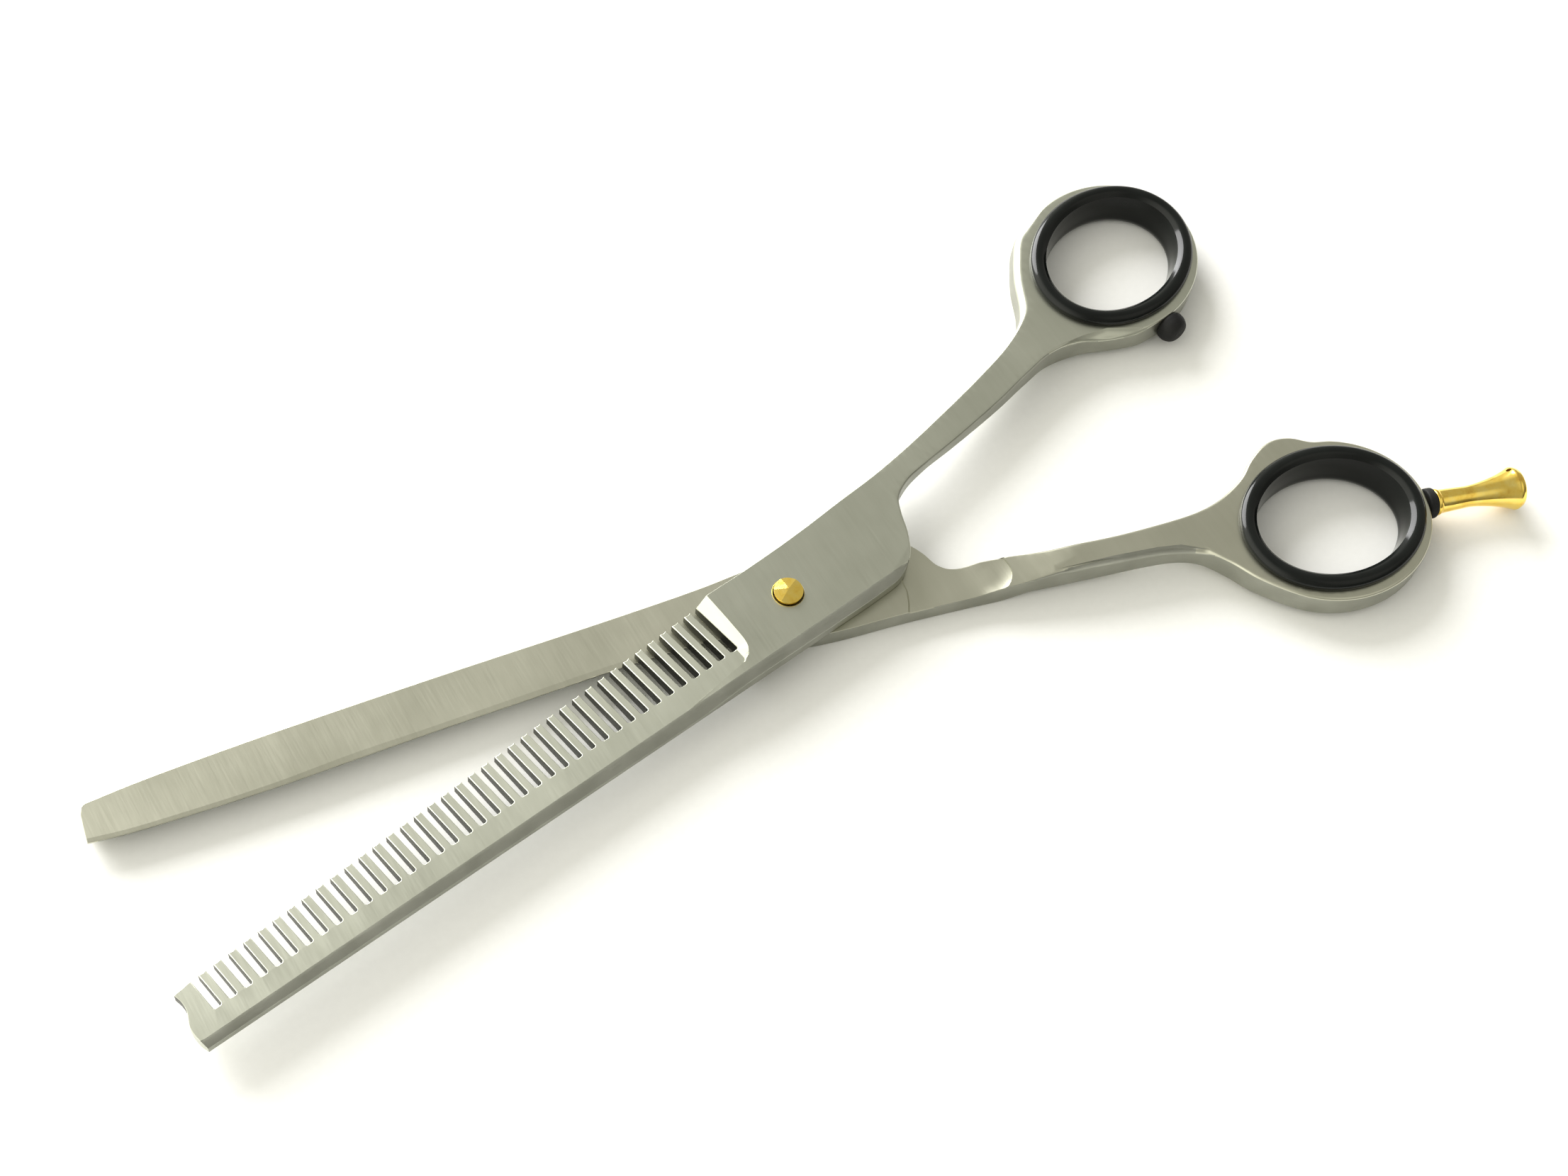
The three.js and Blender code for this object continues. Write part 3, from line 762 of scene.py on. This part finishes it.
def hone_share(x, y):
    """0 at the hone line and 1 at the cutting edge."""
    hone = np.interp(x, *zip(*sorted(HONE_LINE)))
    edge = np.interp(x, *zip(*sorted(CUTTING_EDGE)))
    return np.where(x > 14, (y - hone) / (edge - hone), 0)


def straight_bottom(x, y):
    """The cutting edge's bevel and a relief along the spine."""
    edge = np.interp(x, *zip(*sorted(CUTTING_EDGE)))
    bevel = np.clip(2.8 - 0.70 * (edge - y), 0, 2.8) * ease((x - 8) / 8)
    spine = np.clip(0.41 * (-3.2 + 0.0157 * x - y), 0, 0.9) * ease((x - 10) / 8)
    return np.maximum(bevel, spine) + 1.0 * ease((-36 - x) / 26)


def straight_top_edge(x, y, loop):
    edge = 0.07 + 0.08 * ease((-14 - x) / 4) + 0.3 * ease((-33 - x) / 8)
    return edge if loop == 0 else np.full(len(x), 0.3)


def straight_bottom_edge(x, y, loop):
    edge = 0.06 + 0.2 * ease((6 - x) / 10)
    edge = edge + 1.3 * ease((-30 - x) / 6) - 1.0 * ease((-58 - x) / 8)
    return edge if loop == 0 else np.full(len(x), 0.08 if loop == 2 else 0.3)


def pocket_arc(inset):
    """A line round the wall that ends the milled relief."""
    place = dict(x=POCKET["x"], y=POCKET["y"], turn=0)
    return oval(place, (POCKET["radius"] - inset,) * 2, 250, 90, 32)


def straight_creases():
    ys = np.linspace(-8.5, 8.5, 35)
    sharp = [
        HONE_LINE,
        [(float(ground_line(y)), y) for y in ys],
        [(float(ground_line(y)) - STEP_RUN, y) for y in ys],
        pocket_arc(-0.05),
        pocket_arc(0.01),
        SCOOP_LINE,
    ]
    coves = [pocket_arc(inset) for inset in (0.35, 0.8, 1.3, 1.8, 2.2)]
    return sharp, beside(SCOOP_LINE, (0.25, 0.55, 0.9)) + coves


relief_fill = handle_fill(-36, -18, -7, 9, 0.55)
straight_steel = make_plate(
    "straight_half_steel", straight_outline(),
    [hole(FINGER_RING, RING_BORE, 96), hole(screw_hole, (BUSH_RADIUS + 0.05,) * 2, 64)],
    [(straight_top, straight_top_edge), (straight_bottom, straight_bottom_edge)],
    straight_creases(),
    np.vstack([handle_fill(-99, -36, -2, 30), relief_fill, handle_fill(10, 99, -6, 3.2, 1.0)]),
    -HALF_OPENING,
    body="straight_half", material=steel_straight, slot="steel", stands_for="straight_blade")
give_walls(straight_steel, -HALF_OPENING, False)


# ---- Finger ring inserts ----

def in_half(turn, x, y, z=0.0, spin=0.0):
    """A place in a half's blade frame, as a matrix in the part's frame, in millimetres."""
    return (Matrix.Rotation(math.radians(turn), 4, "Z") @ Matrix.Translation((x, y, z))
            @ Matrix.Rotation(math.radians(spin), 4, "Z"))


def insert_profile():
    """A spool with a lip over each face of its ring, wider at the top of its bore."""
    a = INSERT_HOLE[1]
    corners = [
        (a + 0.35, 0.6), (a + 1.2, 0.05), (a + 2.35, 0.0), (a + 3.0, 0.5), (a + 3.0, RING_BOTTOM),
        (a + 1.45, RING_BOTTOM), (a + 1.45, RING_TOP), (a + 3.0, RING_TOP), (a + 3.0, 6.1),
        (a + 2.3, INSERT_TOP - 0.05), (a + 1.3, INSERT_TOP), (a + 0.5, INSERT_TOP - 0.7),
    ]
    bore = spline([(a + 0.5, INSERT_TOP - 0.7), (a + 0.2, 4.4), (a + 0.05, 2.6), (a + 0.02, 1.4),
                   (a + 0.35, 0.6)], 0.3)
    return round_corners(corners, 0.55, 6) + bore[1:-1]


for piece, ring, turn, half, node in (
        ("thumb_insert_gloss", THUMB_RING, HALF_OPENING, "toothed_half", "thumb_ring_insert"),
        ("finger_insert_gloss", FINGER_RING, -HALF_OPENING, "straight_half", "finger_ring_insert")):
    lathe(piece, insert_profile(), in_half(turn, ring["x"], ring["y"], 0, ring["turn"]), 144,
          INSERT_HOLE[0] - INSERT_HOLE[1], body=half, material=ring_black, slot="ring_plastic",
          stands_for=node)


# ---- Bumper, rest and its washer ----

bumper_place = in_half(HALF_OPENING, BUMPER["x"], BUMPER["y"], BUMPER["z"]) @ Matrix.Rotation(
    math.radians(-90), 4, "X")
lathe("bumper_rubber", round_corners(
    [(0, -1.8), (1.0, -1.8), (1.0, 0), (2.25, 0), (2.4, 0.4), (2.4, 1.4), (1.9, 2.4), (1.1, 2.8),
     (0, 2.8)], 0.4),
    bumper_place, 64,
    body="toothed_half", material=rubber, slot="bumper_rubber", stands_for="bumper")

rest_place = (in_half(-HALF_OPENING, REST["x"], REST["y"], REST["z"], REST["turn"])
              @ Matrix.Rotation(math.radians(90), 4, "Y"))
lathe("rest_washer_rubber", round_corners(
    [(1.3, 0.1), (2.35, 0.1), (2.35, 1.5), (1.3, 1.5)], 0.35), rest_place, 64,
    body="straight_half", material=rubber, slot="bumper_rubber", stands_for="finger_rest_washer")

REST_PROFILE = [(1.6, 1.79), (3.0, 1.74), (4.35, 1.68), (5.7, 1.64), (7.1, 1.74), (8.45, 1.95),
                (9.8, 2.2), (11.2, 2.55), (12.55, 3.02), (13.2, 3.3)]


def rest_profile():
    """A stud, a collar, a waist that flares like a trumpet, and a rounded end."""
    collar = round_corners([(1.25, 0.0), (1.9, 0.0), (2.04, 0.15), (2.04, 0.55), (1.86, 0.75),
                            (1.83, 1.0)], 0.12, 3)
    sweep = spline([(r, at) for at, r in REST_PROFILE], 0.3)
    cap = round_corners([sweep[-1], (3.3, 13.45), (3.05, 14.1), (2.4, 14.4), (0.0, 14.4)], 0.22, 4)
    above = [(r, z + REST_FOOT) for r, z in collar + sweep[:-1] + cap]
    return [(0, -2.6), (1.15, -2.6), (1.25, -2.4)] + above


def drill(piece, place, radius, half_length):
    """Cuts a round cross hole through a piece."""
    verts, faces = [], []
    sides = 32
    for end in (-half_length, half_length):
        for i in range(sides):
            a = 2 * math.pi * i / sides
            verts.append((place @ Vector((radius * math.cos(a), radius * math.sin(a), end))) * MM)
    faces = [(i, (i + 1) % sides, sides + (i + 1) % sides, sides + i) for i in range(sides)]
    faces += [tuple(range(sides - 1, -1, -1)), tuple(range(sides, 2 * sides))]
    mesh = bpy.data.meshes.new("drill")
    mesh.from_pydata([tuple(v) for v in verts], [], faces)
    tool = bpy.data.objects.new("drill", mesh)
    bpy.context.scene.collection.objects.link(tool)
    cut = piece.modifiers.new("cross hole", "BOOLEAN")
    cut.object = tool
    cut.operation = "DIFFERENCE"
    cut.solver = "EXACT"
    piece.modifiers.move(len(piece.modifiers) - 1, 0)
    bpy.context.view_layer.update()
    shown = piece.evaluated_get(bpy.context.evaluated_depsgraph_get())
    baked = bpy.data.meshes.new_from_object(shown)
    piece.modifiers.clear()
    piece.data = baked
    bpy.data.objects.remove(tool)


rest = lathe("finger_rest_gold", rest_profile(), rest_place, 96, body="rest", material=gold,
             slot="gold_metal", stands_for="finger_rest")
cross_hole = (rest_place @ Matrix.Translation((0, 0, REST_FOOT + 12.7))
              @ Matrix.Rotation(math.radians(50), 4, "Z")
              @ Matrix.Rotation(math.radians(90), 4, "X"))
drill(rest, cross_hole, 0.4, 6)


# ---- Pivot ----

def screw_head(name, turn, facets=6, **how):
    """A round head with a shallow pointed top of flat facets."""
    rim_top = SCREW_SEAT + SCREW_RIM
    per_facet = 16
    sides = facets * per_facet
    slope = SCREW_PEAK / (SCREW_RADIUS * 0.97)
    rings = [(1.5, 1.0, None), (1.5, SCREW_SEAT, None), (2.12, SCREW_SEAT, None),
             (SCREW_RADIUS, SCREW_SEAT + 0.08, None), (SCREW_RADIUS, rim_top - 0.1, None),
             (SCREW_RADIUS - 0.03, None, 0.03)]
    rings += [(r, None, 0.0) for r in (2.1, 1.6, 1.0, 0.45, 0.12)]
    verts, faces = [], []
    for r, z, lower in rings:
        for i in range(sides):
            a = 2 * math.pi * i / sides
            offset = (i % per_facet) / per_facet - 0.5
            reach = r * math.cos(offset * 2 * math.pi / facets)
            top = rim_top + SCREW_PEAK - slope * reach - (lower or 0) if z is None else z
            spin = a + math.radians(turn)
            verts.append(Vector((r * math.cos(spin), r * math.sin(spin), top)) * MM)
    verts.append(Vector((0, 0, (rim_top + SCREW_PEAK - 0.02) * MM)))
    verts.append(Vector((0, 0, 1.0 * MM)))
    for low in range(0, (len(rings) - 1) * sides, sides):
        high = low + sides
        for i in range(sides):
            j = (i + 1) % sides
            faces.append((low + i, low + j, high + j, high + i))
    last = (len(rings) - 1) * sides
    for i in range(sides):
        faces.append((last + i, last + (i + 1) % sides, len(verts) - 2))
        faces.append(((i + 1) % sides, i, len(verts) - 1))
    return add_mesh(name, verts, faces, sharp=12.0, **how)


screw_head("pivot_screw_gold", 30.0, body="tension_screw", material=gold, slot="gold_metal",
           stands_for="pivot_screw")

flat_place = Matrix.Identity(4)
lathe("screw_washer_nylon", round_corners(
    [(1.65, 5.95), (2.25, 5.95), (2.25, 6.25), (1.65, 6.25)], 0.06), flat_place, 64,
    body="toothed_half", material=nylon, slot="washer_plastic", stands_for="screw_washer")

bush_outline = oval(screw_hole, (BUSH_RADIUS, BUSH_RADIUS), 0, 360, 73)[:-1]
spanner_holes = [hole(dict(x=side * 1.85, y=0, turn=0), (0.4, 0.4), 24) for side in (-1, 1)]


def flat(height):
    return lambda x, y: np.full(len(x), height)


def broken_edge(outside, at_holes):
    return lambda x, y, loop: np.full(len(x), outside if loop == 0 else at_holes)


make_plate(
    "pivot_bush_steel", bush_outline, spanner_holes,
    [(flat(3.1), broken_edge(0.12, 0.12)), (flat(0.0), broken_edge(0.12, 0.06))],
    ([], []), np.empty((0, 2)), -HALF_OPENING,
    body="straight_half", material=bush_steel, slot="bush_steel", stands_for="pivot_bush")


# ---- Table, light and camera ----

def make_table():
    size = 3.0
    mesh = bpy.data.meshes.new("table")
    corners = [(-size, -size, 0), (size, -size, 0), (size, size, 0), (-size, size, 0)]
    mesh.from_pydata(corners, [], [(0, 1, 2, 3)])
    mesh.materials.append(pale_table("pale table"))
    table = bpy.data.objects.new("table", mesh)
    table.location.z = -0.00005
    bpy.context.scene.collection.objects.link(table)


def make_light():
    """A broad soft window on one side of a plain studio, with a dim wall opposite."""
    world = bpy.data.worlds.new("studio")
    bpy.context.scene.world = world
    world.use_nodes = True
    tree = world.node_tree
    place = tree.nodes.new("ShaderNodeTexCoord")

    def glow(toward, start, end, amount):
        dot = tree.nodes.new("ShaderNodeVectorMath")
        dot.operation = "DOT_PRODUCT"
        dot.inputs[1].default_value = toward
        tree.links.new(place.outputs["Generated"], dot.inputs[0])
        fade = tree.nodes.new("ShaderNodeMapRange")
        fade.interpolation_type = "SMOOTHSTEP"
        tree.links.new(dot.outputs["Value"], fade.inputs["Value"])
        fade.inputs["From Min"].default_value = start
        fade.inputs["From Max"].default_value = end
        fade.inputs["To Min"].default_value = 0.0
        fade.inputs["To Max"].default_value = amount
        return fade.outputs["Result"]

    def total(a, b):
        add = tree.nodes.new("ShaderNodeMath")
        add.operation = "ADD"
        tree.links.new(a, add.inputs[0])
        if isinstance(b, float):
            add.inputs[1].default_value = b
        else:
            tree.links.new(b, add.inputs[1])
        return add.outputs["Value"]

    side = glow((0.93, -0.30, 0.2), 0.35, 0.95, 1.9)
    front = glow((0.1, -0.95, 0.3), 0.66, 0.86, 0.35)
    ceiling = glow((-0.32, 0.55, 0.77), 0.86, 0.99, 0.4)
    back = glow((-0.45, 0.75, -0.45), 0.25, 0.9, -0.34)
    level = total(total(side, front), total(total(back, ceiling), 0.47))
    shader = tree.nodes["Background"]
    shader.inputs["Color"].default_value = (1.0, 0.985, 0.88, 1)
    tree.links.new(level, shader.inputs["Strength"])
    window = bpy.data.lights.new("window", "SUN")
    window.energy = 6.0
    window.angle = math.radians(44)
    window.color = (1.0, 0.995, 1.0)
    lamp = bpy.data.objects.new("window", window)
    lamp.rotation_euler = Vector((0.15, -0.93, 0.34)).to_track_quat("Z", "Y").to_euler()
    bpy.context.scene.collection.objects.link(lamp)


def make_camera():
    """Looks down at the shears from past their tips, on the finger ring's side."""
    data = bpy.data.cameras.new("camera")
    data.sensor_width = 36.0
    data.lens = 53.655
    data.clip_start = 0.01
    camera = bpy.data.objects.new("camera", data)
    forward = Vector((-0.34183, -0.39860, -0.85104))
    up = Vector((-0.39737, -0.75935, 0.51526))
    right = forward.cross(up)
    turn = Matrix((right, up, -forward)).transposed().to_4x4()
    camera.matrix_world = Matrix.Translation((0.113094, 0.130793, 0.287649)) @ turn
    bpy.context.scene.collection.objects.link(camera)
    bpy.context.scene.camera = camera


make_table()
make_light()
make_camera()
bpy.context.scene.view_settings.view_transform = "Standard"
